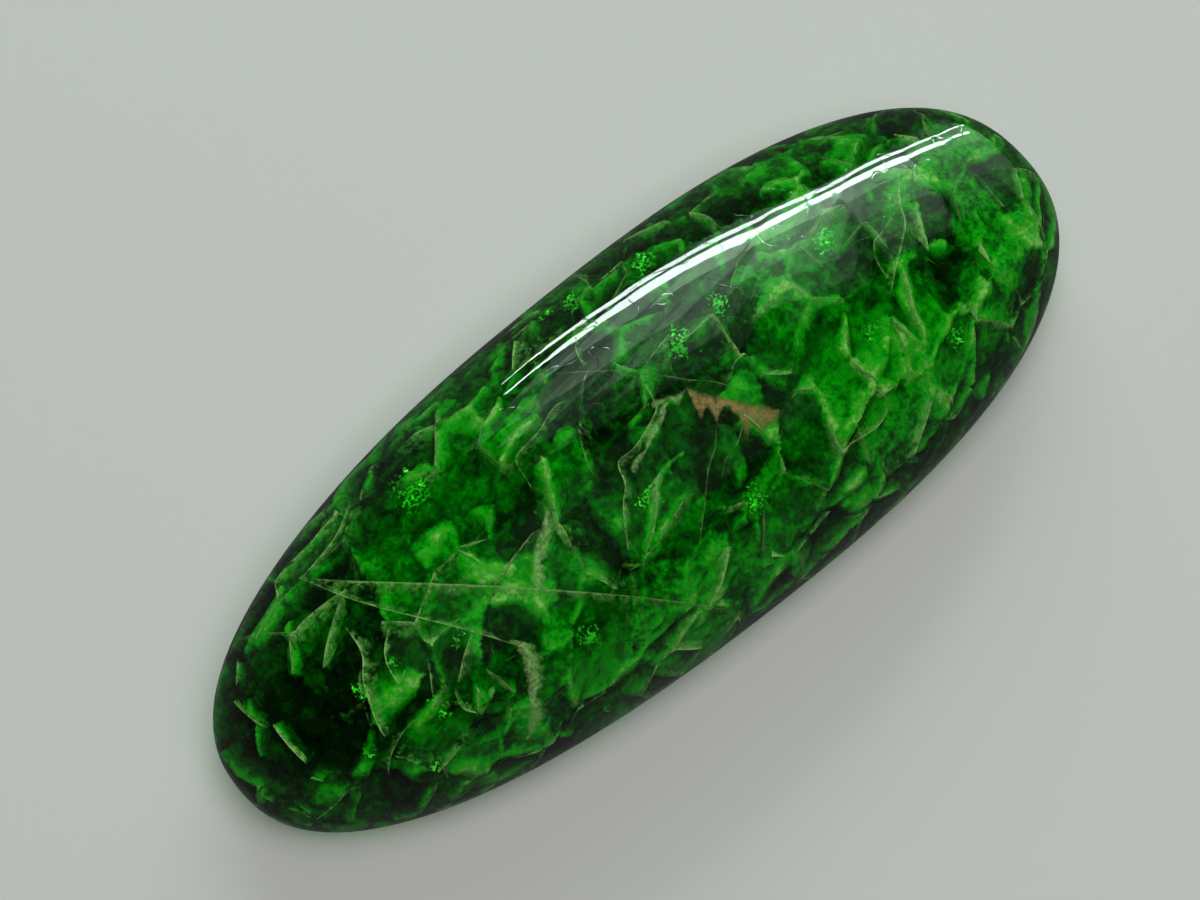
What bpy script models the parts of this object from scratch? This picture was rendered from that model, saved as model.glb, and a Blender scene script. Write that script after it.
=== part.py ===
"""A polished cabochon of chrome diopside: one solid crystal, ground to a long oval dome.

The stone is a single piece. Its outline is a long superellipse, a little wider towards +X.
Above the girdle it rises in a high dome with full shoulders, below it the edge rolls under,
and the back is ground flat, which is what it rests on. X runs along the stone, Y across it,
and Z up from the flat back. The origin is the middle of the back.
"""

import math

import bmesh
import bpy
from mathutils import Vector, noise

MM = 0.001

# Driving dimensions
LENGTH = 42.0 * MM
WIDTH = 15.9 * MM
HEIGHT = 9.0 * MM
GIRDLE_HEIGHT = 2.3 * MM  # the widest level, above the flat back
DOME_RISE = HEIGHT - GIRDLE_HEIGHT

# Outline and section
OUTLINE_POWER = 2.38  # 2 is an ellipse, and more squares the ends
WIDTH_TAPER = 0.075  # how much wider the +X end is than the middle, as a share
DOME_POWER = 2.25
UNDERCUT_POWER = 2.6
UNDERCUT_DEPTH = 3.4 * MM  # depth that the rolled edge would reach if the back weren't ground flat
BACK_EDGE_BREAK = 0.25 * MM  # the small bevel round the flat back

# Hand polishing leaves a surface that is slightly off the true curve
SWELL = 0.10 * MM
SWELL_LENGTH = 11.0 * MM
SWELL_PLACE = Vector((3.1, 0.7, 5.3))

CUTS_PER_SIDE = 22  # cuts across each side of the cube that the stone is rounded from


def clear_scene():
    for thing in list(bpy.data.objects):
        bpy.data.objects.remove(thing, do_unlink=True)


def superellipse_reach(across, up, power):
    """How far a superellipse of unit half axes reaches along the direction (across, up)."""
    return (abs(across) ** power + abs(up) ** power) ** (-1 / power)


def back_size():
    """The flat back's size as a share of the girdle's."""
    return (1 - (GIRDLE_HEIGHT / UNDERCUT_DEPTH) ** UNDERCUT_POWER) ** (1 / UNDERCUT_POWER)


def on_outline(azimuth, size, height):
    """A point of the outline at this size, where 1 is the girdle, and at this height from the girdle."""
    along, across = math.cos(azimuth), math.sin(azimuth)
    reach = size * superellipse_reach(along, across, OUTLINE_POWER)
    taper = 1 + WIDTH_TAPER * reach * along
    return Vector((LENGTH / 2 * reach * along, WIDTH / 2 * reach * across * taper, height))


def on_section(rise):
    """(size of the outline, height from the girdle) where the section meets a ray at the angle rise."""
    out, up = math.cos(rise), math.sin(rise)
    if up >= 0:
        reach = superellipse_reach(out, up, DOME_POWER)
    else:
        reach = superellipse_reach(out, up * DOME_RISE / UNDERCUT_DEPTH, UNDERCUT_POWER)
    return reach * out, reach * up * DOME_RISE


def rounded(corner):
    """Moves a point of the cube from -1 to 1 onto the stone. The cube's underside becomes the flat back."""
    # The tangent spreads the cuts evenly over the rounded form
    x, y, z = (math.tan(part * math.pi / 4) for part in corner)
    azimuth = math.atan2(y, x)
    if corner.z < -0.999:
        return on_outline(azimuth, back_size() * max(abs(x), abs(y)), -GIRDLE_HEIGHT)
    # The cube's lowest edge goes to the rim of the back, and its top to the crown
    lowest = -math.atan(max(abs(math.cos(azimuth)), abs(math.sin(azimuth))))
    rim = -math.atan2(GIRDLE_HEIGHT / DOME_RISE, back_size())
    share = (math.atan2(z, math.hypot(x, y)) - lowest) / (math.pi / 2 - lowest)
    size, height = on_section(rim + share * (math.pi / 2 - rim))
    return on_outline(azimuth, size, height)


def hand_polished(point):
    """The point moved a little in or out, in long soft swells that leave the back flat."""
    above_back = min(1.0, (point.z + GIRDLE_HEIGHT) / GIRDLE_HEIGHT)
    swell = noise.noise(point / SWELL_LENGTH + SWELL_PLACE)
    return point + point.normalized() * swell * SWELL * above_back


def rounded_stone():
    """A finely cut cube, rounded out to the stone's dome, girdle, rolled edge and flat back."""
    mesh = bmesh.new()
    bmesh.ops.create_cube(mesh, size=2.0)
    bmesh.ops.subdivide_edges(mesh, edges=mesh.edges[:], cuts=CUTS_PER_SIDE, use_grid_fill=True)
    for vertex in mesh.verts:
        vertex.co = hand_polished(rounded(vertex.co))
    return mesh


def break_back_edge(mesh):
    """Bevels the rim of the flat back by a hair, as a lapidary does so that it doesn't chip."""
    lowest = min(vertex.co.z for vertex in mesh.verts)
    level = 1e-4 * MM

    def is_back(face):
        return all(vertex.co.z < lowest + level for vertex in face.verts)

    rim = [edge for edge in mesh.edges if sorted(map(is_back, edge.link_faces)) == [False, True]]
    bmesh.ops.bevel(
        mesh, geom=rim, offset=BACK_EDGE_BREAK, offset_type="OFFSET", segments=2, profile=0.5, affect="EDGES"
    )


def stand_on_origin(mesh):
    """Moves the stone so that the middle of its flat back is the origin."""
    corners = [[pick(vertex.co[axis] for vertex in mesh.verts) for axis in range(3)] for pick in (min, max)]
    low, high = map(Vector, corners)
    middle = Vector(((low.x + high.x) / 2, (low.y + high.y) / 2, low.z))
    bmesh.ops.translate(mesh, verts=mesh.verts, vec=-middle)


def chrome_diopside():
    material = bpy.data.materials.new("chrome_diopside")
    material.use_nodes = True
    shader = material.node_tree.nodes["Principled BSDF"]
    shader.inputs["Base Color"].default_value = (0.012, 0.13, 0.02, 1.0)
    shader.inputs["Roughness"].default_value = 0.06
    shader.inputs["Metallic"].default_value = 0.0
    shader.inputs["IOR"].default_value = 1.68
    return material


def build():
    clear_scene()
    collection = bpy.data.collections.new("chrome_diopside_cabochon")
    bpy.context.scene.collection.children.link(collection)
    mesh = rounded_stone()
    break_back_edge(mesh)
    stand_on_origin(mesh)
    bmesh.ops.recalc_face_normals(mesh, faces=mesh.faces)
    data = bpy.data.meshes.new("diopside_cabochon")
    mesh.to_mesh(data)
    mesh.free()
    data.shade_smooth()
    data.set_sharp_from_angle(angle=math.radians(35))
    data.materials.append(chrome_diopside())
    stone = bpy.data.objects.new("diopside_cabochon", data)
    collection.objects.link(stone)


build()
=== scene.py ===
"""The looks of a chrome diopside cabochon: a clear deep green crystal full of fine internal cracks."""

import math
import random

import bmesh
import bpy
from mathutils import Matrix, Vector, noise
from mathutils.bvhtree import BVHTree
from mathutils.kdtree import KDTree


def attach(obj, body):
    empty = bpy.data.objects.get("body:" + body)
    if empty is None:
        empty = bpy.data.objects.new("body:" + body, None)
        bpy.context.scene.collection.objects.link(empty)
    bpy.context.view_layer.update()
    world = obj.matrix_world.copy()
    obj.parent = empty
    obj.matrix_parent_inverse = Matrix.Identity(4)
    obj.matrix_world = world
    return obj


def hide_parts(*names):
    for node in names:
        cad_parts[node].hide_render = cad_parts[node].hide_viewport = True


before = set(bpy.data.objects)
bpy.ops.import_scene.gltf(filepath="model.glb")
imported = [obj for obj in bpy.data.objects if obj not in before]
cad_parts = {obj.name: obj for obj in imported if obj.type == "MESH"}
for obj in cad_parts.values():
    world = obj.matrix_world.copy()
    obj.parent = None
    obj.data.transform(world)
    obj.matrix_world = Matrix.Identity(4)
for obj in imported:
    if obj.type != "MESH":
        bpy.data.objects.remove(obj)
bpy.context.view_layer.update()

MM = 0.001

# The view
# The camera looks down on the dome, nearly square to the flat back, with the stone's
# long axis rising to the right. It is a close shot with a long lens.
PICTURE = (1200, 900)
SENSOR = 36.0
LENS = 100.0
ELEVATION = math.radians(72.0)
HEADING = math.radians(40.0)
DISTANCE = 134.5 * MM
STONE_SITS_RIGHT = 43  # pixels from the picture's middle to the stone's middle
MID_HEIGHT = 4.5 * MM

forward = Vector((
    math.sin(HEADING) * math.cos(ELEVATION),
    math.cos(HEADING) * math.cos(ELEVATION),
    -math.sin(ELEVATION),
))
rightward = Vector((math.cos(HEADING), -math.sin(HEADING), 0.0))
upward = rightward.cross(forward)
PIXELS_TO_TANGENT = SENSOR / LENS / PICTURE[0]

aim = Vector((0, 0, MID_HEIGHT)) - rightward * STONE_SITS_RIGHT * PIXELS_TO_TANGENT * DISTANCE
eye = aim - forward * DISTANCE
bpy.ops.object.camera_add(location=eye)
camera = bpy.context.object
camera.rotation_euler = forward.to_track_quat("-Z", "Y").to_euler()
camera.data.lens = LENS
camera.data.sensor_width = SENSOR
camera.data.clip_start = 0.01
bpy.context.scene.camera = camera


def sight(x, y):
    """The unit vector from the camera through a pixel of the picture."""
    across = (x - PICTURE[0] / 2) * PIXELS_TO_TANGENT
    up = (PICTURE[1] / 2 - y) * PIXELS_TO_TANGENT
    return (forward + rightward * across + upward * up).normalized()


def pixel_of(point):
    """The picture's pixel that shows a point."""
    away = point - eye
    ahead = away.dot(forward) * PIXELS_TO_TANGENT
    return PICTURE[0] / 2 + away.dot(rightward) / ahead, PICTURE[1] / 2 - away.dot(upward) / ahead


# The stone
# One natural crystal of chrome diopside, sawn, ground to a long oval dome and polished with
# a fine oxide, which gives it a wet gloss. It is clear, and chromium makes it deep green.
MERGE = 0.002 * MM
SCRATCH_SPACING = 2.2 * MM
SCRATCH_WIDTH = 0.006  # as a share of the noise that the scratches follow
SCRATCH_DEPTH = 0.006 * MM
SCRATCH_STRENGTH = 0.3
GREEN = (0.01, 0.80, 0.02, 1)  # the share of each colour that the crystal lets through
ABSORPTION = 1500.0  # per metre

stone_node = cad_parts["diopside_cabochon"]
bpy.ops.object.select_all(action="DESELECT")
stone = stone_node.copy()
stone.data = stone_node.data.copy()
stone.name = "polished_crystal"
stone.data.name = "polished_crystal"
bpy.context.scene.collection.objects.link(stone)
stone.parent = None
stone.matrix_world = stone_node.matrix_world
bpy.context.view_layer.objects.active = stone
stone.select_set(True)
bpy.ops.object.mode_set(mode="EDIT")
bpy.ops.mesh.select_all(action="SELECT")
bpy.ops.mesh.remove_doubles(threshold=MERGE)
bpy.ops.mesh.tris_convert_to_quads(face_threshold=math.radians(30), shape_threshold=math.radians(60))
bpy.ops.object.mode_set(mode="OBJECT")
smooth = stone.modifiers.new("smooth", "SUBSURF")
smooth.levels = 2
smooth.render_levels = 2
bpy.ops.object.modifier_apply(modifier=smooth.name)
bpy.ops.object.shade_smooth()

shape = bmesh.new()
shape.from_mesh(stone.data)
surface = BVHTree.FromBMesh(shape)
shape.clear()
shape.from_mesh(stone_node.data)
plain_surface = BVHTree.FromBMesh(shape)
shape.free()


def depth(point):
    """How far a point is below the stone's surface, or less than 0 outside it."""
    nearest, normal, _, distance = plain_surface.find_nearest(point)
    return distance if (nearest - point).dot(normal) > 0 else -distance


def on_stone(x, y):
    """The point of the polished surface that shows at a pixel, and its normal."""
    point, normal, _, _ = surface.ray_cast(eye, sight(x, y))
    if point is None:
        raise ValueError(f"no stone at pixel {x}, {y}")
    return point, normal


def linear(colour):
    """An sRGB hex colour as linear red, green, blue and alpha."""
    parts = [int(colour[place:place + 2], 16) / 255 for place in (1, 3, 5)]
    return [part / 12.92 if part <= 0.04045 else ((part + 0.055) / 1.055) ** 2.4 for part in parts] + [1.0]


def add_node(tree, kind, links=None, inputs=None, **settings):
    """Adds a node, with its settings, its fixed input values, and the sockets linked to its inputs."""
    node = tree.nodes.new(kind)
    for name, value in settings.items():
        setattr(node, name, value)
    for name, value in (inputs or {}).items():
        node.inputs[name].default_value = value
    for name, socket in (links or {}).items():
        tree.links.new(socket, node.inputs[name])
    return node


def empty_material(name):
    """A new material with nothing but its output, and that output."""
    material = bpy.data.materials.new(name)
    material.use_nodes = True
    material.node_tree.nodes.clear()
    return material, add_node(material.node_tree, "ShaderNodeOutputMaterial")


# Polished diopside is as clear as green glass. The polish left a few hair-thin scratches, which
# cut the mirrored lamps into short lengths.
clear_green, output = empty_material("polished_chrome_diopside")
tree = clear_green.node_tree
place = add_node(tree, "ShaderNodeTexCoord")
drift = add_node(tree, "ShaderNodeTexNoise", links={"Vector": place.outputs["Object"]}, inputs={
    "Scale": 1 / SCRATCH_SPACING, "Detail": 1.0, "Distortion": 0.6})
from_line = add_node(
    tree, "ShaderNodeMath", operation="SUBTRACT", links={0: drift.outputs["Fac"]}, inputs={1: 0.5})
to_line = add_node(tree, "ShaderNodeMath", operation="ABSOLUTE", links={0: from_line.outputs[0]})
groove = add_node(tree, "ShaderNodeMapRange", links={"Value": to_line.outputs[0]}, inputs={
    "From Min": 0.0, "From Max": SCRATCH_WIDTH, "To Min": 0.0, "To Max": 1.0})
bump = add_node(tree, "ShaderNodeBump", links={"Height": groove.outputs[0]}, inputs={
    "Strength": SCRATCH_STRENGTH, "Distance": SCRATCH_DEPTH})
crystal = add_node(tree, "ShaderNodeBsdfPrincipled", links={"Normal": bump.outputs[0]}, inputs={
    "Base Color": (1, 1, 1, 1), "Roughness": 0.03, "IOR": 1.68, "Transmission Weight": 1.0})
through = add_node(tree, "ShaderNodeBsdfTransparent", inputs={"Color": (0.9, 0.9, 0.9, 1)})
rays = add_node(tree, "ShaderNodeLightPath")
surface_mix = add_node(tree, "ShaderNodeMixShader", links={
    0: rays.outputs["Is Shadow Ray"], 1: crystal.outputs[0], 2: through.outputs[0]})
tree.links.new(surface_mix.outputs[0], output.inputs["Surface"])
body_colour = add_node(tree, "ShaderNodeVolumeAbsorption", inputs={
    "Color": GREEN, "Density": ABSORPTION})
tree.links.new(body_colour.outputs[0], output.inputs["Volume"])
stone.data.materials.clear()
stone.data.materials.append(clear_green)
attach(stone, "root")
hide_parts("diopside_cabochon")

# The crazed heart
# Strain split the crystal into grains a few millimetres long. Cloudy healed cracks part them, so
# under the clear outer skin each grain ends in a tilted wall, shallow at one side and deep at the other.
GRAIN = 1.75 * MM
STRETCH = 1.6  # how much longer a grain is than wide
LONG_WAY_UP, LONG_WAY_RIGHT = 0.97, 0.25  # the direction in the picture that the grains are long in
SHAKE = 1.1  # how far the grains are shaken out of their lattice, in grains
LATTICE_LOW, LATTICE_HIGH = Vector((-24, -24, -4)) * MM, Vector((24, 24, 13)) * MM
REACH_X, REACH_Y = 24, 11  # the half axes of the oval that the grains fill, in mm
LOWEST, HIGHEST = -2.5, 11.5
BEND = 0.32 * MM
BEND_LENGTH = 2.4 * MM
FINE_BEND_LENGTH = 0.7 * MM
FINE_BEND_SHARE = 6
DARKS = 0.07  # the share of the grains that is clear anywhere in the stone
NO_WALL = 0.34  # the share of the pairs of grains that no crack parts
CLEAR_NO_WALL = 0.75  # the same between two clear grains
INSET = 0.06 * MM
VOXEL = 0.145 * MM
RIDGE = 0.10 * MM
TILT = 0.3
GENTLE = 0.75 * MM  # how wide a wall's bank is on its shallow side
STEEP = 0.25 * MM
CREST = 0.3  # how deep the top of a wall lies, in mm
# The film along the top of a wall is painted a brighter green: painted light
CREST_PAINTED_LIGHT = 0.47  # how bright that top is
PALE_BANK = 0.35
LINE = 0.25
BROAD_LENGTH = 3.0 * MM
LUMP_LENGTH = 1.1 * MM
ROUGH_LENGTH, ROUGH_SIZE = 0.5 * MM, 0.14
GRIT_LENGTH, GRIT_SIZE = 0.2 * MM, 0.07
LEAST_DEEP = 0.15
MOST_DEEP = 0.42  # as a share of the stone's thickness
PROBE_MM = 0.2  # how far under the surface that thickness is measured from
MOTTLE, MOTTLE_LENGTH = 0.95, 0.8 * MM
FIBRE, FIBRE_LENGTH = 0.42, 0.3 * MM
RIDGE_GLOW = 0.45
LIFT = 0.02
PATCH_PEAK = 1.6  # past 1, so that a patch is even in its middle
# The places, as pixels of the picture, where the grains are clear, bright or cloudy, and how far each reaches
# Under the clear windows the film gets painted shade, standing in for the dark depth of clear crystal
CLEAR_WINDOWS = (
    (290, 715, 85), (335, 660, 40), (500, 545, 38), (610, 440, 32), (763, 368, 38), (560, 360, 28),
    (402, 655, 14), (445, 655, 18), (412, 700, 20), (585, 480, 22), (640, 350, 22), (690, 460, 22),
    (545, 345, 16), (905, 250, 16), (955, 245, 22), (820, 330, 20), (505, 345, 10), (600, 530, 22),
    (722, 434, 42))
# Where the grains are bright, their film gets painted light: it is painted a brighter green where the crystal
# shines
PAINTED_LIGHT_SPOTS = (
    (405, 485, 30), (685, 345, 26), (620, 265, 26), (575, 303, 26), (440, 712, 22), (655, 500, 20),
    (825, 235, 22), (600, 690, 50), (545, 310, 26), (640, 257, 24), (370, 690, 22), (760, 520, 40),
    (860, 340, 30), (960, 300, 30))
CLOUDS = (
    (500, 690, 40), (545, 620, 40), (960, 170, 60), (1000, 230, 50), (860, 300, 45), (760, 480, 60),
    (900, 430, 60), (400, 560, 40), (340, 560, 30), (480, 610, 40), (700, 600, 50), (830, 400, 50))
# For each kind of grain: how deep its wall lies in mm, how bright it is and how pale, and how far each varies
KINDS = {
    "plain": (0.6, 0.7, 0.20, 0.19, 0.0, 0.2),
    # The bright kind's greater brightness is painted light
    "bright": (1.0, 0.4, 0.42, 0.15, 0.0, 0.2),
    "clear": (1.1, 0.8, 0.27, 0.06, 0.0, 0.0),
    "cloudy": (0.4, 0.6, 0.26, 0.13, 0.3, 0.3),
}
# How much darker the film is painted under the clear windows: painted shade
WINDOW_PAINTED_SHADE = 0.15
BRIGHT_FROM, CLEAR_FROM, CLOUDY_FROM = 0.4, 0.25, 0.3
long_way = (upward * LONG_WAY_UP + rightward * LONG_WAY_RIGHT).normalized()


def patch(x, y, spots):
    """PATCH_PEAK in the middle of the nearest spot, falling to 0 at its rim and outside it."""
    nearest = max(
        PATCH_PEAK * (1 - math.hypot(x - at_x, y - at_y) / radius) for at_x, at_y, radius in spots)
    return max(0.0, nearest)


def squeezed(point):
    """The point moved so that long grains become round ones."""
    return point - long_way * point.dot(long_way) * (1 - 1 / STRETCH)


def unsqueezed(point):
    """The point moved back from where squeezed put it."""
    return point + long_way * point.dot(long_way) * (STRETCH - 1)


def chance(*whole_numbers):
    """An even random number from 0 to 1 that depends only on these whole numbers."""
    return random.Random("grain {}".format(whole_numbers)).random()


AXES_APART = (Vector((9.3, -1.5, -7.9)), Vector((0, 0, 0)), Vector((6.2, 40.7, 3.4)))


def wander(point):
    """A smooth random vector that is the same in each run, which noise.noise_vector isn't."""
    return Vector([noise.noise(point + apart) for apart in AXES_APART])


def bent_by(point):
    """How far the grains' shapes are bent at a point."""
    return wander(point / BEND_LENGTH) * BEND + wander(point / FINE_BEND_LENGTH) * BEND / FINE_BEND_SHARE


class Grain:
    """One grain: where it is, how deep its wall lies in mm, which way that tilts, and how cloudy it is."""

    def __init__(self, seed, turn):
        self.seed = seed
        luck = [chance(turn, part) for part in range(6)]
        x, y = pixel_of(unsqueezed(seed))
        window = patch(x, y, CLEAR_WINDOWS)
        kind = "plain"
        # Grains near the bright spots get painted light, a brighter film
        if patch(x, y, PAINTED_LIGHT_SPOTS) > BRIGHT_FROM:
            kind = "bright"
        elif window > CLEAR_FROM or luck[2] < DARKS:
            kind = "clear"
        elif patch(x, y, CLOUDS) > CLOUDY_FROM:
            kind = "cloudy"
        deep, deep_varies, glow, glow_varies, pale, pale_varies = KINDS[kind]
        self.clear = kind == "clear"
        # Under a clear window the film is painted darker, a painted shade for the clear crystal's dark depth
        if self.clear:
            glow -= WINDOW_PAINTED_SHADE * min(1.0, window)
        self.deep = deep + deep_varies * luck[0]
        self.glow = glow + glow_varies * luck[1]
        self.pale = pale + pale_varies * luck[5]
        heading = luck[3] * math.tau
        way = rightward * math.cos(heading) + upward * math.sin(heading)
        self.tilt = way * (0.3 + 0.7 * luck[4])


def parted(here, there, pair):
    """Whether a crack parts two grains, from the pair's random number."""
    return pair > (CLEAR_NO_WALL if here.clear and there.clear else NO_WALL)


counts = [int((LATTICE_HIGH[axis] - LATTICE_LOW[axis]) / GRAIN) + 1 for axis in range(3)]
grains = []
for i in range(counts[0]):
    for j in range(counts[1]):
        for k in range(counts[2]):
            shake = Vector([chance(i, j, k, axis) * SHAKE - SHAKE / 2 for axis in range(3)])
            seed = LATTICE_LOW + (Vector((i, j, k)) + shake) * GRAIN
            x, y, z = unsqueezed(seed) / MM
            if (x / REACH_X) ** 2 + (y / REACH_Y) ** 2 < 1 and LOWEST < z < HIGHEST:
                grains.append(Grain(seed, len(grains)))
tree_of_grains = KDTree(len(grains))
for index, grain in enumerate(grains):
    tree_of_grains.insert(grain.seed, index)
tree_of_grains.balance()

bpy.ops.object.select_all(action="DESELECT")
heart = stone.copy()
heart.data = stone.data.copy()
heart.name = "crazed_heart"
heart.data.name = "crazed_heart"
bpy.context.scene.collection.objects.link(heart)
bpy.context.view_layer.objects.active = heart
heart.select_set(True)
blocks = heart.modifiers.new("blocks", "REMESH")
blocks.mode = "VOXEL"
blocks.voxel_size = VOXEL
bpy.ops.object.modifier_apply(modifier=blocks.name)
bpy.ops.object.shade_smooth()

# Each vertex goes inward to the depth of its grain's wall, or of the bank between two walls
glows, pales, lines, inward = [], [], [], []
for vertex in heart.data.vertices:
    point, out = vertex.co.copy(), vertex.normal.copy()
    bent = squeezed(point + bent_by(point))
    (_, first, near), (_, second, far) = tree_of_grains.find_n(bent, 2)
    here, there = grains[first], grains[second]
    to_edge = (far ** 2 - near ** 2) / (2 * (here.seed - there.seed).length)
    slope = here.tilt.dot(bent - here.seed) / MM
    pair = chance(min(first, second), max(first, second))
    broad = noise.noise(point / BROAD_LENGTH + Vector((7, 1, 4)))
    lumpy = noise.noise(point / LUMP_LENGTH + Vector((2, 5, 1)))
    walled = parted(here, there, pair)

    # One side of a wall is steep and the other gentle, which the pair's number decides
    gentle = (first < second) == (pair * 7 % 1 > 0.5)
    bank = (GENTLE if gentle or not walled else STEEP) * (0.6 + 0.8 * (pair * 13 % 1))
    if here.clear != there.clear:
        bank = GENTLE * 1.3
    share = min(1.0, to_edge / bank)
    down = share * share * (3 - 2 * share)

    # The wall's top lies at the depth and brightness of both grains, or higher and brighter where a crack
    # parts them; that brighter green along a crack is painted light
    crest, top = (here.deep + there.deep) / 2, (here.glow + there.glow) / 2
    height = 0.0
    if walled:
        strength = 0.35 + 0.9 * (pair - NO_WALL) / (1 - NO_WALL) + 0.9 * lumpy + 0.5 * broad
        height = min(1.0, max(0.0, strength))
        crest += (CREST - crest) * height
        top += (CREST_PAINTED_LIGHT - top) * height
    rough = ROUGH_SIZE * noise.noise(point / ROUGH_LENGTH) + GRIT_SIZE * noise.noise(point / GRIT_LENGTH)
    deep = max(INSET / MM, crest + (max(LEAST_DEEP, here.deep + TILT * slope) - crest) * down + rough)
    reach = plain_surface.ray_cast(point - out * PROBE_MM * MM, -out)[3] or 0
    inward.append(point - out * min(deep * MM, MOST_DEEP * reach + INSET))
    # The film is painted darker where its wall lies deeper along its tilt, a painted shade; the broad noise
    # is random tone
    glows.append(top + (here.glow - 0.10 * slope - top) * down + 0.10 * broad)
    veiled_bank = PALE_BANK * (1 - down) * max(0.0, height + broad - 0.3)
    pales.append(here.pale + (veiled_bank if walled else 0.0))
    lines.append(max(0.0, 1 - to_edge / RIDGE) * height * LINE)
for vertex, place in zip(heart.data.vertices, inward):
    vertex.co = place
for name, values in (("glow", glows), ("pale", pales), ("line", lines)):
    heart.data.attributes.new(name, "FLOAT", "POINT").data.foreach_set("value", values)
heart.data.materials.clear()

# A healed crack is a film of tiny bubbles and specks. It shows mottled green, from nearly black where the
# crystal is clear to pale straw where the film is thick, and has no shine of its own. Its near-black under
# clear crystal is painted shade, and the glow attribute paints light and shade into its green.
film, output = empty_material("healed_crack_film")
tree = film.node_tree
glow = add_node(tree, "ShaderNodeAttribute", attribute_name="glow")
pale = add_node(tree, "ShaderNodeAttribute", attribute_name="pale")
line = add_node(tree, "ShaderNodeAttribute", attribute_name="line")
place = add_node(tree, "ShaderNodeTexCoord")
mottle = add_node(tree, "ShaderNodeTexNoise", links={"Vector": place.outputs["Object"]}, inputs={
    "Scale": 1 / MOTTLE_LENGTH, "Detail": 4.0, "Roughness": 0.64, "Distortion": 0.5})
fibre = add_node(tree, "ShaderNodeTexNoise", links={"Vector": place.outputs["Object"]}, inputs={
    "Scale": 1 / FIBRE_LENGTH, "Detail": 2.0, "Roughness": 0.7, "Distortion": 0.4})
uneven = add_node(tree, "ShaderNodeMath", operation="MULTIPLY_ADD", links={
    0: mottle.outputs["Fac"], 2: glow.outputs["Fac"]}, inputs={1: MOTTLE})
veiled = add_node(tree, "ShaderNodeMath", operation="MULTIPLY_ADD", links={
    0: pale.outputs["Fac"], 1: fibre.outputs["Fac"], 2: uneven.outputs[0]})
ridged = add_node(tree, "ShaderNodeMath", operation="MULTIPLY_ADD", links={
    0: line.outputs["Fac"], 2: veiled.outputs[0]}, inputs={1: RIDGE_GLOW})
crumbed = add_node(tree, "ShaderNodeMath", operation="MULTIPLY_ADD", links={
    0: fibre.outputs["Fac"], 2: ridged.outputs[0]}, inputs={1: FIBRE})
lifted = add_node(tree, "ShaderNodeMath", operation="SUBTRACT", links={0: crumbed.outputs[0]}, inputs={
    1: (MOTTLE + FIBRE) / 2 - LIFT})
ramp = add_node(tree, "ShaderNodeValToRGB", links={0: lifted.outputs[0]})
stops = ramp.color_ramp.elements
stops[0].position = 0.0
stops[0].color = linear("#020c03")
stops[1].position = 1.0
stops[1].color = linear("#a8b47c")
for position, shade in ((0.25, "#062c0a"), (0.45, "#0c6410"), (0.62, "#14981a"), (0.8, "#529a30")):
    stops.new(position).color = linear(shade)
cloudy = add_node(tree, "ShaderNodeBsdfDiffuse", links={"Color": ramp.outputs[0]})
tree.links.new(cloudy.outputs[0], output.inputs["Surface"])
heart.data.materials.append(film)
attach(heart, "root")

# The grain cracks
# Between the heart and the polish the walls of the grains run on as healed cracks. Each ends
# just under the polish in a fine pale line, and breaks up into fibres and specks as it goes down.
DEEPEST = 1.2 * MM
NEIGHBOURS = 20  # the nearest grains that can bound a grain's walls
WALL_REACH = 4 * MM  # half the width of the square that a wall is cut from
FLATTEST = 0.66  # walls that lie flatter than this under the polish are left to the heart
MERGE_CORNERS = 0.01 * MM
FACET = 0.36 * MM
MARGINS = (1.5, 0.8, 0.4, 0.3)  # how far below DEEPEST each finer cut of the walls keeps its faces, in mm
LINE_DEPTH = 0.07 * MM
SWELL_LENGTH = 2.6 * MM
LINE_LENGTH = 1.2 * MM
START = 0.42
SWELL = 0.3
TOP_LINE = 0.19
FADE = 0.22


def cut_back(corners, point, normal):
    """The part of a flat outline that lies behind a plane."""
    kept = []
    sides = [(corner - point).dot(normal) for corner in corners]
    for index, corner in enumerate(corners):
        following = (index + 1) % len(corners)
        if sides[index] <= 0:
            kept.append(corner)
        if (sides[index] < 0) != (sides[following] < 0) and sides[index] != sides[following]:
            share = sides[index] / (sides[index] - sides[following])
            kept.append(corner.lerp(corners[following], share))
    return kept


walls = bmesh.new()
for first, grain in enumerate(grains):
    if depth(unsqueezed(grain.seed)) > DEEPEST + 1.5 * GRAIN:
        continue
    near = [second for _, second, _ in tree_of_grains.find_n(grain.seed, NEIGHBOURS)][1:]
    for second in near:
        other = grains[second]
        if second < first or not parted(grain, other, chance(first, second)):
            continue
        middle = (grain.seed + other.seed) / 2
        normal = (other.seed - grain.seed).normalized()
        lies_flat = abs(normal.dot(surface.find_nearest(unsqueezed(middle))[1])) > FLATTEST
        if lies_flat or depth(unsqueezed(middle)) > DEEPEST + GRAIN:
            continue
        side = normal.orthogonal().normalized() * WALL_REACH
        up = normal.cross(side)
        outline = [middle + side + up, middle - side + up, middle - side - up, middle + side - up]
        for third in near:
            if third != second:
                beyond = grains[third].seed
                outline = cut_back(outline, (beyond + grain.seed) / 2, beyond - grain.seed)
                if len(outline) < 3:
                    break
        if len(outline) > 2:
            walls.faces.new([walls.verts.new(unsqueezed(corner)) for corner in outline])
bmesh.ops.remove_doubles(walls, verts=walls.verts[:], dist=MERGE_CORNERS)
bmesh.ops.triangulate(walls, faces=walls.faces[:])
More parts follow.
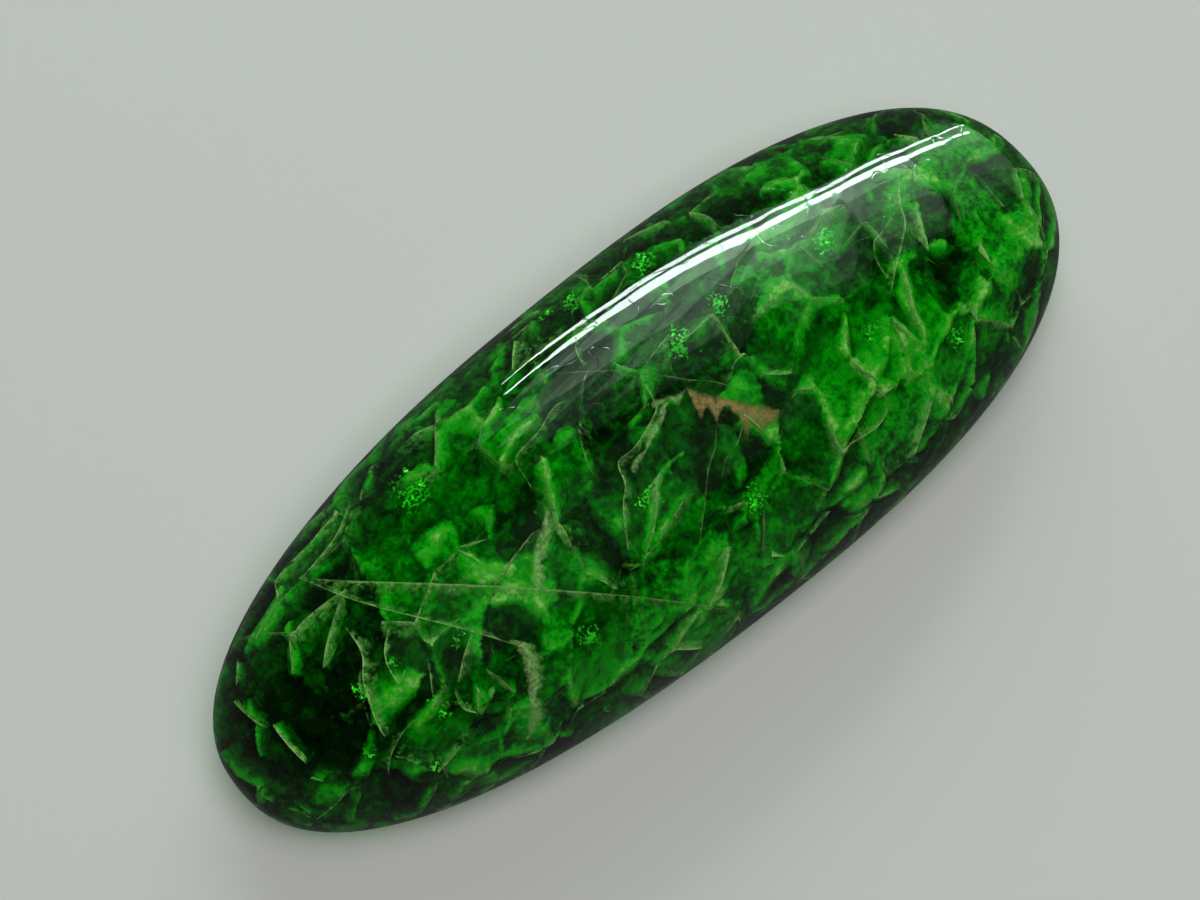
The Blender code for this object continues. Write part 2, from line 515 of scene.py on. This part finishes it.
for margin in MARGINS:
    depths = {vertex: depth(vertex.co) for vertex in walls.verts}
    floor_level = DEEPEST + margin * MM
    spare = [face for face in walls.faces if min(depths[vertex] for vertex in face.verts) > floor_level]
    bmesh.ops.delete(walls, geom=spare, context="FACES")
    long_edges = [edge for edge in walls.edges if edge.calc_length() > FACET]
    bmesh.ops.subdivide_edges(walls, edges=long_edges, cuts=1)
    bmesh.ops.triangulate(walls, faces=walls.faces[:])
for vertex in walls.verts:
    vertex.co -= bent_by(vertex.co)
depths = {vertex: depth(vertex.co) for vertex in walls.verts}
spare = []
for face in walls.faces:
    downs = [depths[vertex] for vertex in face.verts]
    if max(downs) < INSET or min(downs) > DEEPEST:
        spare.append(face)
bmesh.ops.delete(walls, geom=spare, context="FACES")

# The walls' top edges are drawn down to just under the polish
for vertex in walls.verts:
    others = [edge.other_vert(vertex) for edge in vertex.link_edges]
    inner = [other for other in others if depths[other] > INSET]
    if depths[vertex] < INSET and inner:
        deepest = max(inner, key=lambda other: depths[other])
        share = (INSET - depths[vertex]) / (depths[deepest] - depths[vertex])
        vertex.co = vertex.co.lerp(deepest.co, share)
        depths[vertex] = INSET
strengths = []
for vertex in walls.verts:
    below = depths[vertex]
    swell = noise.noise(vertex.co / SWELL_LENGTH + Vector((5, 1, 2)))
    unbroken = 0.6 + 1.2 * noise.noise(vertex.co / LINE_LENGTH)
    line = max(0.0, 1 - (below - INSET) / LINE_DEPTH) * unbroken
    strength = START + SWELL * swell + TOP_LINE * line - FADE * below / DEEPEST
    strengths.append(min(1.0, max(0.0, strength)))
grain_mesh = bpy.data.meshes.new("grain_cracks")
walls.to_mesh(grain_mesh)
grain_mesh.validate()
walls.free()
grain_mesh.attributes.new("strength", "FLOAT", "POINT").data.foreach_set("value", strengths)
grain_mesh.shade_smooth()
grain_cracks = bpy.data.objects.new("grain_cracks", grain_mesh)
bpy.context.scene.collection.objects.link(grain_cracks)


def crack_material(name, pale, green, whole, gloss=0.0, detail=3.0, grit=0.4, edge=0.35):
    """A film in a crack with holes in it. It is pale where the strength attribute is high and
    greener where it is low. Its specks are grit mm wide, and whole is the level that they end at."""
    material, output = empty_material(name)
    tree = material.node_tree
    strength = add_node(tree, "ShaderNodeAttribute", attribute_name="strength")
    place = add_node(tree, "ShaderNodeTexCoord")
    cloud = add_node(tree, "ShaderNodeTexNoise", links={"Vector": place.outputs["Object"]}, inputs={
        "Scale": 1 / (grit * MM), "Detail": detail, "Roughness": 0.8})
    total = add_node(tree, "ShaderNodeMath", operation="ADD", links={
        0: cloud.outputs["Fac"], 1: strength.outputs["Fac"]})
    cover = add_node(tree, "ShaderNodeMapRange", links={"Value": total.outputs[0]}, inputs={
        "From Min": whole, "From Max": whole + edge})
    colour = add_node(tree, "ShaderNodeMix", data_type="RGBA", links={0: strength.outputs["Fac"]}, inputs={
        6: linear(green), 7: linear(pale)})
    body = add_node(tree, "ShaderNodeBsdfDiffuse", links={"Color": colour.outputs[2]})
    if gloss:
        shine = add_node(tree, "ShaderNodeBsdfGlossy", links={"Color": colour.outputs[2]}, inputs={
            "Roughness": 0.3})
        body = add_node(tree, "ShaderNodeMixShader", inputs={0: gloss}, links={
            1: body.outputs[0], 2: shine.outputs[0]})
    hole = add_node(tree, "ShaderNodeBsdfTransparent", inputs={"Color": (1, 1, 1, 1)})
    mixed = add_node(tree, "ShaderNodeMixShader", links={
        0: cover.outputs[0], 1: hole.outputs[0], 2: body.outputs[0]})
    tree.links.new(mixed.outputs[0], output.inputs["Surface"])
    return material


healed = crack_material("healed_crack", "#a4b87c", "#4c8a3c", 0.79, detail=2.0)
grain_mesh.materials.append(healed)
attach(grain_cracks, "root")

# The long cracks
# A few cracks cross many grains. Each starts at the polish in a thin pale line and dips in
# at a slant, so a band beside the line shines green.
# Each has its path in pixels of the picture, the way it leans there, with 0 right and 90 up, how far it
# leans from upright and how deep it goes in mm, and where they differ, how strong its line and its film are
LONG_CRACKS = {
    "long": ((
        (298, 577), (340, 580), (400, 582), (480, 585), (560, 590), (640, 597), (700, 605), (735, 613)),
        -90, 50, 1.3),
    "short": (((300, 578), (340, 595), (380, 608), (420, 618), (470, 631), (515, 645)), 70, 35, 0.9),
    "white": (((553, 373), (600, 370), (635, 371), (691, 379), (722, 383), (761, 400)), -90, 15, 0.6),
    "fork": ((
        (641, 378), (654, 402), (654, 414), (635, 446), (618, 462), (625, 485), (623, 507), (628, 550)),
        0, 50, 0.9),
    "pair_a": (((716, 424), (716, 446), (709, 470), (705, 507), (700, 545)), 180, 15, 0.5),
    "pair_b": (((744, 419), (739, 441), (727, 458), (722, 482)), 180, 15, 0.4),
    "curved": (
        ((566, 400), (553, 407), (538, 431), (519, 451), (516, 463), (528, 482), (532, 492)), -20, 35, 0.8),
    "leaf_right": (
        ((899, 172), (901, 202), (906, 221), (903, 241), (896, 270), (891, 294)), 180, 65, 1.0, 0.2, 0.34),
    "leaf_left": (((901, 202), (882, 231), (874, 241), (876, 259), (887, 278)), 0, 45, 0.5),
    "tip": (((923, 113), (923, 123), (929, 137), (940, 152), (962, 165)), 20, 45, 0.9),
    "notch": (((514, 340), (512, 355), (512, 371)), 10, 60, 1.6),
    "notch_low": (((514, 373), (540, 352), (575, 327)), 120, 60, 1.6),
    "hook": (((573, 327), (576, 351), (584, 366)), 0, 35, 0.7),
    "star_up": (((299, 579), (322, 553), (338, 530), (350, 500)), -60, 40, 0.8),
    "star_down": (((294, 586), (274, 607), (260, 627), (254, 642)), 0, 25, 0.5),
    "star_left": (((240, 640), (254, 634), (284, 632), (300, 634)), -90, 30, 0.5),
    "dark_rim": (((345, 627), (361, 653), (363, 683), (376, 722), (384, 737)), 0, 60, 1.1),
    "veil": (((390, 622), (384, 655), (398, 683), (404, 670)), 30, 60, 0.9),
    "straw_a": (((428, 663), (433, 699)), 0, 40, 0.5),
    "straw_b": (((472, 632), (463, 658), (458, 683)), 0, 50, 0.8),
    "low_a": (((419, 718), (404, 732), (391, 757), (389, 778)), 180, 35, 0.6),
    "low_b": (((455, 693), (463, 709), (478, 714)), 90, 60, 0.8),
    "upper_a": (((790, 225), (800, 245), (818, 262), (826, 270)), 100, 55, 0.9),
    "upper_b": (((870, 385), (888, 402), (880, 425), (850, 445)), 90, 45, 0.8),
}


def at_share(path, share):
    """The pixel at a share of a path's length, on a smooth line through its points."""
    spans = len(path) - 1
    place = min(share * spans, spans - 1e-6)
    index = int(place)
    local = place - index
    before = path[max(index - 1, 0)]
    start, end = path[index], path[index + 1]
    after = path[min(index + 2, spans)]
    return [
        0.5 * (
            2 * b + (c - a) * local + (2 * a - 5 * b + 4 * c - d) * local ** 2
            + (3 * b - a - 3 * c + d) * local ** 3)
        for a, b, c, d in zip(before, start, end, after)
    ]


PIXELS_PER_MM = 24.0
SHEET_STEP = 0.18 * MM
SHEET_ROWS = 8
RAGGED_LENGTH = 0.7 * MM
WOBBLE_MM = 0.07


def dipping_sheet(name, path, towards, lean, deep, line=0.19, start=0.42, ragged=0.5, fuzzy=False):
    """A sheet that starts along a path on the polish and dips into the stone, leaning towards an
    angle in the picture, where 0 is right and 90 is up."""
    length = sum(math.dist(a, b) for a, b in zip(path, path[1:])) / PIXELS_PER_MM * MM
    columns = max(8, int(length / SHEET_STEP))
    bpy.ops.mesh.primitive_grid_add(x_subdivisions=columns, y_subdivisions=SHEET_ROWS, size=2)
    sheet = bpy.context.object
    sheet.name = name
    heading = math.radians(towards)
    lean_way = rightward * math.cos(heading) + upward * math.sin(heading)
    slant = math.radians(lean)
    # Each sheet has its own part of the noise
    seed = Vector((len(name) * 1.7, path[0][0] * 0.013, path[0][1] * 0.017))
    strengths = []
    for vertex in sheet.data.vertices:
        share = min(max((vertex.co.x + 1) / 2, 0), 1)
        down = min(max((vertex.co.y + 1) / 2, 0), 1)
        point, normal = on_stone(*at_share(path, share))
        side = (lean_way - normal * lean_way.dot(normal)).normalized()
        into = -normal * math.cos(slant) + side * math.sin(slant)

        # The lower edge is ragged, and the sheet is less deep towards its ends
        taper = min(1.0, 5 * min(share, 1 - share) + 0.25)
        along = Vector((share * length / RAGGED_LENGTH, 0, 0))
        broad = ragged * noise.noise(seed + along)
        fine = ragged / 2 * noise.noise(seed + along * 2.7)
        reach = deep * MM * taper * max(0.1, 0.75 + broad + fine)
        wobble = wander(point / RAGGED_LENGTH + seed) * WOBBLE_MM * MM
        place = point - normal * INSET + into * reach * down + wobble * down
        below = depth(place)
        if below < INSET:
            place -= normal * (INSET - below)
        vertex.co = place

        # A crack is strongest at its top, and a filled vein in its middle
        edge = max(0.0, 1 - reach * down / LINE_DEPTH)
        fading = 3.2 * (down + 0.1) * (1 - down) if fuzzy else 1 - 0.55 * down ** 1.5
        strengths.append(min(1.0, start * fading * (0.6 + 0.4 * taper) + line * edge))
    sheet.data.attributes.new("strength", "FLOAT", "POINT").data.foreach_set("value", strengths)
    sheet.data.shade_smooth()
    return sheet


def joined(sheets, name, material):
    """The sheets as one piece with one material, riding on the stone."""
    bpy.ops.object.select_all(action="DESELECT")
    for sheet in sheets:
        sheet.select_set(True)
    bpy.context.view_layer.objects.active = sheets[0]
    if len(sheets) > 1:
        bpy.ops.object.join()
    bpy.ops.object.transform_apply(location=True, rotation=True, scale=True)
    piece = bpy.context.object
    piece.name = name
    piece.data.name = name
    piece.data.materials.clear()
    piece.data.materials.append(material)
    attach(piece, "root")
    return piece


long_healed = crack_material("long_healed_crack", "#98b070", "#4c8a3c", 0.80)
long_sheets = [dipping_sheet(name, *facts) for name, facts in LONG_CRACKS.items()]
joined(long_sheets, "long_cracks", long_healed)

# The filled veins
# In places the cracks are filled with pale calcite, and one is stained brown by iron. A filling
# is granular, thickest in the middle of its crack, and thins out to specks at both edges.
VEINS = {
    "beige_low": (
        ((508, 640), (518, 652), (526, 680), (529, 710), (525, 742)), 0, 70, 1.0, 0.0, 0.46, 0.6, True),
    "beige_mid": (((535, 590), (532, 560), (538, 535), (546, 510)), 0, 65, 0.9, 0.0, 0.42, 0.8, True),
    "pale_fork": (((652, 400), (668, 396), (686, 388)), -100, 65, 0.8, 0.0, 0.4, 1.0, True),
    "pale_band": (((669, 402), (662, 425), (650, 446), (637, 472)), 180, 60, 0.8, 0.0, 0.4, 1.0, True),
}
STAIN_PATH = ((686, 386), (700, 391), (716, 395), (735, 399), (754, 402), (780, 408))
calcite = crack_material("calcite_vein", "#c8c49c", "#88a068", 0.64, grit=0.16, edge=0.6)
iron = crack_material("iron_stained_crack", "#a8845c", "#5c3c26", 0.68, grit=0.22, edge=0.4)
joined([dipping_sheet(name, *facts) for name, facts in VEINS.items()], "calcite_veins", calcite)
joined([dipping_sheet("brown", STAIN_PATH, -90, 80, 1.6, 0.0, 0.55, 0.9, True)], "iron_stain", iron)

# The bright flakes
# Small open cracks lie flat under the dome. Half their shine is a real glossy reflection of the light that
# has come down through the green crystal; their emerald glow is painted light, a bright green colour that is
# palest in each flake's middle.
# Each has its pixel of the picture, its radius in pixels, and how far it lies under the polish in mm
FLAKES = (
    (405, 485, 34, 0.75), (683, 340, 30, 0.75), (640, 257, 22, 0.6), (570, 297, 22, 0.6),
    (543, 310, 18, 0.6), (440, 712, 20, 0.6), (655, 500, 24, 0.6), (960, 335, 22, 0.6),
    (1000, 270, 22, 0.6), (825, 235, 20, 0.6), (360, 690, 16, 0.6), (590, 640, 22, 0.6),
    (720, 300, 18, 0.6), (460, 640, 16, 0.6), (760, 500, 24, 0.6), (880, 330, 22, 0.6),
    (366, 753, 14, 0.4), (463, 706, 11, 0.3), (436, 770, 12, 0.4), (390, 660, 12, 0.4))
FLAKE_CUTS = 14
FLAKE_UNEVENNESS = 0.5
FLAKE_TILT = 0.35
CRUMPLE_MM = 0.35
CRUMPLE_LENGTH = 0.4 * MM


def flake(x, y, radius, below_mm):
    """A small wavy disc lying below the polish at a pixel."""
    bpy.ops.mesh.primitive_grid_add(x_subdivisions=FLAKE_CUTS, y_subdivisions=FLAKE_CUTS, size=2)
    disc = bpy.context.object
    centre, normal = on_stone(x, y)
    # Each disc leans its own way
    turn = noise.noise(Vector((x * 0.1, y * 0.1, 0))) * 3
    across = normal.orthogonal().normalized()
    along = normal.cross(across)
    tilt = Vector((math.cos(turn), math.sin(turn)))
    size = radius / PIXELS_PER_MM * MM
    least_depth = 2 * INSET
    strengths = []
    for vertex in disc.data.vertices:
        u, v = vertex.co.x, vertex.co.y
        u += FLAKE_UNEVENNESS * noise.noise(Vector((x, y, 0)) * 0.37 + vertex.co * 1.6)
        place = centre - normal * below_mm * MM + (across * u + along * v) * size
        place += normal * size * FLAKE_TILT * (u * tilt.x + v * tilt.y)
        place += wander(place / CRUMPLE_LENGTH) * CRUMPLE_MM * MM
        below = depth(place)
        if below < least_depth:
            place -= normal * (least_depth - below)
        vertex.co = place
        # Each flake is painted palest in its middle: a painted glint
        strengths.append(max(0.0, 0.5 * (1 - math.hypot(u, v) ** 2)))
    disc.data.attributes.new("strength", "FLOAT", "POINT").data.foreach_set("value", strengths)
    disc.data.shade_smooth()
    return disc


# Painted glow: the flakes are painted bright emerald, on top of a real glossy reflection
glossy_crack_painted_glow = crack_material(
    "bright_open_crack", "#90ff70", "#50f840", 0.9, gloss=0.5, detail=1.0, grit=0.15, edge=0.12)
joined([flake(*facts) for facts in FLAKES], "bright_flakes", glossy_crack_painted_glow)

# The floor and the light
# The stone lies on a sheet of pale paper. Two strip lamps and the wall that they light up are
# mirrored in the dome, and a wide lamp above lights the inside of the stone.
bpy.ops.mesh.primitive_plane_add(size=1.2)
floor = bpy.context.object
floor.name = "floor"
pale, output = empty_material("pale_paper")
paper = add_node(pale.node_tree, "ShaderNodeBsdfPrincipled", inputs={
    "Base Color": linear("#b4b4b1"), "Roughness": 0.7})
pale.node_tree.links.new(paper.outputs[0], output.inputs["Surface"])
floor.data.materials.append(pale)
floor.visible_glossy = False

# The room is a little lighter near the floor than overhead
world = bpy.context.scene.world or bpy.data.worlds.new("studio")
bpy.context.scene.world = world
world.use_nodes = True
tree = world.node_tree
where = add_node(tree, "ShaderNodeTexCoord")
parts = add_node(tree, "ShaderNodeSeparateXYZ", links={0: where.outputs["Generated"]})
height = add_node(tree, "ShaderNodeMapRange", links={"Value": parts.outputs["Z"]}, inputs={
    "From Min": 0.0, "From Max": 0.6, "To Min": 0.07, "To Max": 0.01})
tree.links.new(height.outputs[0], tree.nodes["Background"].inputs["Strength"])
tree.nodes["Background"].inputs["Color"].default_value = (1, 1, 1, 1)


def reflected(x, y):
    """The point of the polish that shows at a pixel, and the direction that it mirrors there."""
    ray = sight(x, y)
    point, normal = on_stone(x, y)
    return point, (ray - 2 * ray.dot(normal) * normal).normalized()


def panel(name, start, end, width, strength, seen=True, colour="#ffffff"):
    """A rectangular lamp whose long middle line runs between two points, facing the stone."""
    lamp = bpy.data.lights.new(name, "AREA")
    lamp.shape = "RECTANGLE"
    lamp.size = (end - start).length
    lamp.size_y = width
    lamp.energy = strength * lamp.size * width * math.pi
    lamp.color = linear(colour)[:3]
    thing = bpy.data.objects.new(name, lamp)
    bpy.context.scene.collection.objects.link(thing)
    middle = (start + end) / 2
    x_axis = (end - start).normalized()
    facing = (Vector((0, 0, MID_HEIGHT)) - middle).normalized()
    z_axis = -(facing - facing.dot(x_axis) * x_axis).normalized()
    matrix = Matrix((x_axis, z_axis.cross(x_axis), z_axis)).transposed().to_4x4()
    matrix.translation = middle
    thing.matrix_world = matrix
    thing.visible_glossy = seen


LAMP_AWAY = 0.45
ACROSS = (0.62, 0.78)  # the direction in the picture that leads off the highlight's middle line
# The middle lines of the highlight and of the haze, in pixels of the picture, and for each row of lamps
# how far off its middle line it shows in pixels, how wide it is in metres and how strong
STREAK = (
    (503, 388), (540, 357), (596, 316), (672, 268), (750, 228), (830, 189), (905, 153), (940, 138),
    (966, 128))
TUBES = ((-3.5, 0.016, 12.0), (5.4, 0.028, 13.0))
HAZE_PATH = ((530, 365), (596, 316), (672, 268), (750, 228), (830, 189), (905, 153), (972, 125))
HAZE = ((11, 0.07, 2.3), (15, 0.2, 0.95), (29, 0.2, 0.65), (43, 0.2, 0.33), (58, 0.2, 0.15))


def lamp_row(name, path, offset, width, strength, narrows, colour):
    """A row of lamps whose mirror image runs beside a path of pixels, weaker towards both ends."""
    places = []
    for x, y in path:
        point, way = reflected(x + offset * ACROSS[0], y + offset * ACROSS[1])
        places.append(point + way * LAMP_AWAY)
    last = len(places) - 2
    for index, (start, end) in enumerate(zip(places, places[1:])):
        # Its last lamp at each end has a third of the width or strength, and the next about two thirds
        taper = min(1.0, 0.3 + 0.35 * min(index, last - index))
        if narrows:
            panel(f"{name}_{index}", start, end, width * taper, strength, colour=colour)
        else:
            panel(f"{name}_{index}", start, end, width, strength * taper, colour=colour)


for row, (offset, width, strength) in enumerate(TUBES):
    lamp_row(f"tube_{row}", STREAK, offset, width, strength, True, "#f0fcff")
for row, (offset, width, strength) in enumerate(HAZE):
    lamp_row(f"haze_{row}", HAZE_PATH, offset, width, strength, False, "#ccf4d4")
KEY_START, KEY_END = Vector((-0.25, -0.1, 0.6)), Vector((0.25, -0.1, 0.6))
panel("key", KEY_START, KEY_END, 0.5, 4.6, seen=False)

bpy.context.scene.view_settings.view_transform = "Standard"
bpy.context.scene.cycles.max_bounces = 5
bpy.context.scene.cycles.diffuse_bounces = 2
bpy.context.scene.cycles.transmission_bounces = 4
bpy.context.scene.cycles.transparent_max_bounces = 5
